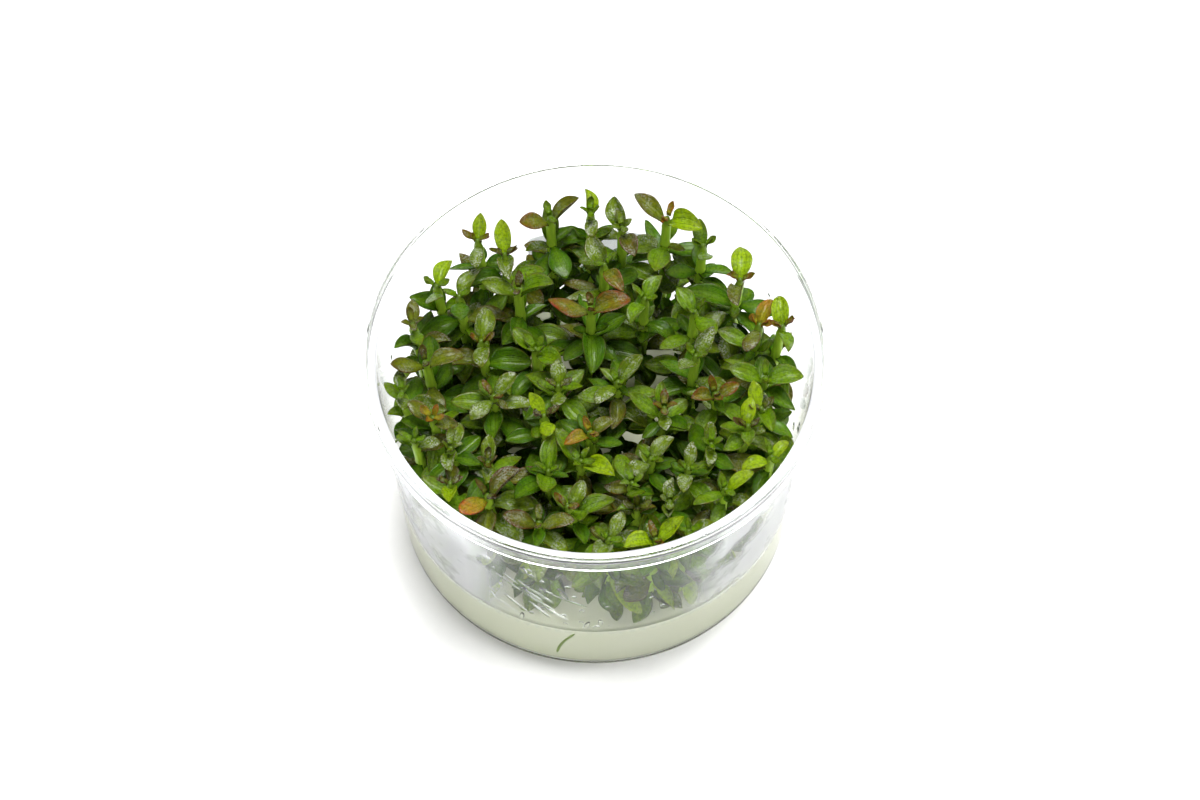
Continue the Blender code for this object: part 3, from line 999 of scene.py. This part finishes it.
def living_stem():
    """A fleshy bacopa stem: yellow green, juicy and half clear, with fine lengthwise streaks, and
    dark at the growing tip."""
    material = blank_material("living_stem")
    body = add(material, "Attribute", attribute_name="body")
    crown = add(material, "Attribute", attribute_name="flush")
    where = add(material, "TexCoord")
    drawn = add(material, "Mapping", {"Vector": where.outputs["Object"],
                                      "Scale": (1.0, 1.0, 0.12)})
    streak = add(material, "TexNoise", {"Vector": drawn, "Scale": 1.8 / MM, "Detail": 2})
    streaked = add(material, "Mix", {"Factor": streak, "A": body.outputs["Color"],
                                     "B": srgb("#8EB834")}, data_type="RGBA")
    colour = add(material, "Mix", {"Factor": crown.outputs["Alpha"], "A": streaked,
                                   "B": srgb("#3C5410")}, data_type="RGBA")
    bump = add(material, "Bump", {"Height": streak, "Distance": 0.06 * MM, "Strength": 0.6})
    shader = add(material, "BsdfPrincipled", {
        "Base Color": colour,
        "Roughness": 0.34,
        "IOR": 1.42,
        "Normal": bump,
    })
    glow = add(material, "BsdfTranslucent", {"Color": colour})
    thin = add(material, "MixShader", {0: 0.25, 1: shader, 2: glow})
    add(material, "OutputMaterial", {"Surface": thin})
    return material


def tone_of(look, level, heading, rng):
    """The tone letter of a leaf, by its level and the way it points."""
    if level == 0:
        return look[0]
    if level == 1:
        quarter = round(math.atan2(heading.y, heading.x) / (math.pi / 2)) % 4
        return look[1 + quarter]
    return rng.choice(LOWER_TONES)


def fill_in(growth, crowd, name, foot, crown, height, turn, length, slopes, rng,
            tones=LOWER_TONES):
    """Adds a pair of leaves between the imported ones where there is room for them."""
    for side in (0, math.pi):
        size = length * rng.uniform(*LEAF_SIZES)
        tone = TONES[rng.choice(tones)]
        form = rng.random()
        for slope, swing in itertools.product(slopes, SWINGS):
            bearing = turn + side + swing
            stations, tip = low_stations(foot, crown, height, bearing, size, -slope)
            rings = blade_rings(stations, tip, LEAF_THICKNESS, random.Random(form))
            if crowd.is_clear(rings, name):
                crowd.add(*coarse_skin(rings), name)
                grow_leaf(growth, rings, tone, rng)
                break


def make_shoots():
    skins = (living_leaf(), living_stem(), living_root())
    names = sorted(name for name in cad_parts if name.startswith("shoot_"))
    read = {name: read_shoot(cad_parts[name]) for name in names}
    crowd = Crowd()
    for name in names:
        crowd.add(*read[name][4], name)
    for number, (name, look) in enumerate(zip(names, LOOKS), start=1):
        foot, crown, leaves, levels, _ = read[name]
        rng = random.Random(number)
        growth = Growth()
        crowd.settle()
        bearing = math.atan2(leaves[0].heading.y, leaves[0].heading.x)
        bare = 2 if foot.y > 0 else 1
        nodes = list(levels)
        while nodes[-1] - INTERNODE > foot.z + LOWEST_NODE:
            nodes.append(nodes[-1] - INTERNODE)
        for rank, height in enumerate(nodes):
            turn = bearing + math.pi / 2 * (rank + 1)
            if rank >= len(levels):
                fill_in(growth, crowd, name, foot, crown, height, turn, LOW_LEAF, LOW_SLOPES,
                        rng)
            if rank >= bare:
                between = height - INTERNODE / 2
                fill_in(growth, crowd, name, foot, crown, between, turn + math.pi / 4,
                        LOW_LEAF, BETWEEN_SLOPES, rng)
                if rng.random() < AXIL_SHARE:
                    fill_in(growth, crowd, name, foot, crown, height, turn + math.pi / 2,
                            AXIL_LEAF, AXIL_SLOPES, rng)
                fill_in(growth, crowd, name, foot, crown, between + 1.5 * MM, turn - math.pi / 4,
                        LOW_LEAF, UPPER_SLOPES, rng)
        if foot.y < FRONT_ROW:
            for rise in FRONT_HEIGHTS:
                to_wall = math.atan2(foot.y, foot.x) + rng.uniform(-0.7, 0.7)
                fill_in(growth, crowd, name, foot, crown, foot.z + rise, to_wall, FRONT_LEAF,
                        FRONT_SLOPES, rng, FRONT_TONES)
        grow_stem(growth, foot, crown, nodes, rng)
        for leaf in leaves:
            tone = TONES[tone_of(look, leaf.level, leaf.heading, rng)]
            is_bud = leaf.level == 0
            thickness = LEAF_THICKNESS * (0.8 if is_bud else 1.0)
            rings = blade_rings(leaf.stations, leaf.tip, thickness, rng, is_bud)
            grow_leaf(growth, rings, tone, rng)
        for side in (0, math.pi):
            turn = bearing + math.pi / 2 + side
            stations, tip = low_stations(foot, crown, crown.z, turn, TIP_LEAF, -1.2)
            rings = blade_rings(stations, tip, LEAF_THICKNESS * 0.7, rng, bud=True)
            grow_leaf(growth, rings, TONES[look[0]], rng)
        for _ in range(ROOTS):
            grow_root(growth, foot, rng)
        shoot = growth.finish(f"{name}_grown", skins)
        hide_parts(name)


make_shoots()


# The condensation
# Drops of water that hang on the inside of the wall, most at the front left, with long ones there
# that have run aslant.

DROP_RING = 14
DROP_SECTIONS = 5
DROP_SINK = 0.02 * MM
DROP_THICKNESS = 0.36
DROPS = 90
DROP_SIZES = (0.25 * MM, 0.8 * MM)
RUNS = 14
RUN_WIDTHS = (0.5 * MM, 1.0 * MM)


def still_water():
    """Clear water: a lens with a dark edge and a bright middle on the clear wall."""
    material = blank_material("still_water")
    place = add(material, "TexCoord")
    breath = add(material, "TexNoise", {"Vector": place.outputs["Object"], "Scale": 0.3 / MM,
                                        "Detail": 1})
    dulled = add(material, "MapRange", {"Value": breath, "To Max": 0.02})
    shader = add(material, "BsdfPrincipled", {
        "Base Color": srgb("#FFFFFF"),
        "Roughness": dulled,
        "IOR": 1.33,
        "Transmission Weight": 1.0,
    })
    add(material, "OutputMaterial", {"Surface": shader})
    return material


def add_drop(points, faces, turn, height, wide, high, lean):
    """A flat lens of water on the wall; lean slants a long one."""
    start = len(points)
    for i in range(DROP_SECTIONS + 1):
        rise = i / DROP_SECTIONS
        spread = math.sqrt(1 - rise ** 2)
        thick = DROP_THICKNESS * min(wide, high) * rise
        for k in range(DROP_RING if i < DROP_SECTIONS else 1):
            angle = 2 * math.pi * k / DROP_RING
            z = height + high * spread * math.sin(angle)
            aside = wide * spread * math.cos(angle) + lean * (z - height)
            radius = inner_radius(z) + DROP_SINK - thick
            at = turn + aside / radius
            points.append((radius * math.cos(at), radius * math.sin(at), z))
    for i in range(DROP_SECTIONS):
        low = start + i * DROP_RING
        for k in range(DROP_RING):
            j = (k + 1) % DROP_RING
            if i == DROP_SECTIONS - 1:
                faces.append((low + j, low + k, low + DROP_RING))
            else:
                faces.append((low + j, low + k, low + DROP_RING + k, low + DROP_RING + j))
    faces.append(tuple(start + k for k in range(DROP_RING)))


def make_condensation():
    rng = random.Random(7)
    points = []
    faces = []
    for i in range(DROPS):
        at_front = i % 3 < 2
        turn = -math.pi / 2 + (rng.gauss(-0.35, 0.4) if at_front else rng.uniform(0, 6.28))
        height = rng.uniform(GEL_TOP + 3 * MM, 48 * MM)
        size = rng.uniform(*DROP_SIZES)
        stretch = rng.choice((1.0, 1.2, 2.0, 3.5))
        add_drop(points, faces, turn, height, size, size * stretch, rng.uniform(-0.3, 0.3))
    for _ in range(RUNS):
        turn = -math.pi / 2 + rng.uniform(-0.7, -0.1)
        height = rng.uniform(GEL_TOP + 5 * MM, 40 * MM)
        wide = rng.uniform(*RUN_WIDTHS)
        high = wide * rng.uniform(2.5, 5)
        add_drop(points, faces, turn, height, wide, high, rng.uniform(-1.5, -0.7))
    drops = skin_mesh("condensation", points, faces, smooth_below=50)
    drops.data.materials.append(still_water())
    drops.visible_shadow = False


make_condensation()


# The table, the light and the camera
# A white table that the cup stands on, a large soft light above and behind it, smaller ones at the
# front left and the right, and the camera looking down at the photo's angle.

TABLE_SIZE = 4.0
TABLE_DROP = 0.05 * MM
LIGHT_AIM = Vector((0, 0, 30 * MM))
CAMERA_PLACE = (0.00107, -0.3617, 0.6619)
CAMERA_TILT = math.radians(30.2985)
CAMERA_LENS = 97.7


def white_table():
    """Matt white laminate, bright enough to wash out to white."""
    material = blank_material("white_laminate")
    shader = add(material, "BsdfPrincipled", {
        "Base Color": grained(material, 0.4, 2, "#EAEAEA", "#EEEEEE"),
        "Roughness": 0.7,
        "Specular IOR Level": 0.2,
        "Emission Color": (1.0, 1.0, 1.0, 1.0),
        "Emission Strength": 0.03,
    })
    add(material, "OutputMaterial", {"Surface": shader})
    return material


def make_table():
    half = TABLE_SIZE / 2
    corners = [(-half, -half, 0), (half, -half, 0), (half, half, 0), (-half, half, 0)]
    mesh = bpy.data.meshes.new("table")
    mesh.from_pydata(corners, [], [(0, 1, 2, 3)])
    mesh.materials.append(white_table())
    table = bpy.data.objects.new("table", mesh)
    bpy.context.scene.collection.objects.link(table)
    table.location.z = -TABLE_DROP
    table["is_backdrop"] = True


def soft_light(name, place, size, power):
    """A square area light that faces the cup."""
    lamp = bpy.data.lights.new(name, "AREA")
    lamp.size = size
    lamp.energy = power
    light = bpy.data.objects.new(name, lamp)
    light.location = place
    light.rotation_euler = (LIGHT_AIM - Vector(place)).to_track_quat("-Z", "Y").to_euler()
    bpy.context.scene.collection.objects.link(light)


def make_light():
    scene = bpy.context.scene
    scene.world = bpy.data.worlds.new("studio")
    studio = scene.world
    studio.use_nodes = True
    studio.node_tree.nodes.clear()
    facing = add(studio, "TexCoord")
    split = add(studio, "SeparateXYZ", {"Vector": facing.outputs["Generated"]})
    glow = add(studio, "MapRange", {"Value": split.outputs["Z"], "From Min": 0.25,
                                    "From Max": 0.65, "To Min": 0.5, "To Max": 0.05})
    background = add(studio, "Background", {"Color": (1.0, 1.0, 1.0, 1.0), "Strength": glow})
    add(studio, "OutputWorld", {"Surface": background})
    soft_light("top_light", (0.07, 0.18, 1.0), 0.5, 17.0)
    soft_light("front_light", (-0.25, -0.75, 0.80), 0.3, 3.4)
    soft_light("side_light", (0.9, 0.1, 0.6), 0.35, 3.0)
    scene.view_settings.view_transform = "Standard"


def make_camera():
    data = bpy.data.cameras.new("camera")
    data.lens = CAMERA_LENS
    data.sensor_width = 36.0
    camera = bpy.data.objects.new("camera", data)
    camera.location = CAMERA_PLACE
    camera.rotation_euler.x = CAMERA_TILT
    bpy.context.scene.collection.objects.link(camera)
    bpy.context.scene.camera = camera


make_table()
make_light()
make_camera()

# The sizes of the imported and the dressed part, to compare
boxes = {"cad": cad_box, "visual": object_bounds()}
{name: [list(corner) for corner in box] for name, box in boxes.items()}
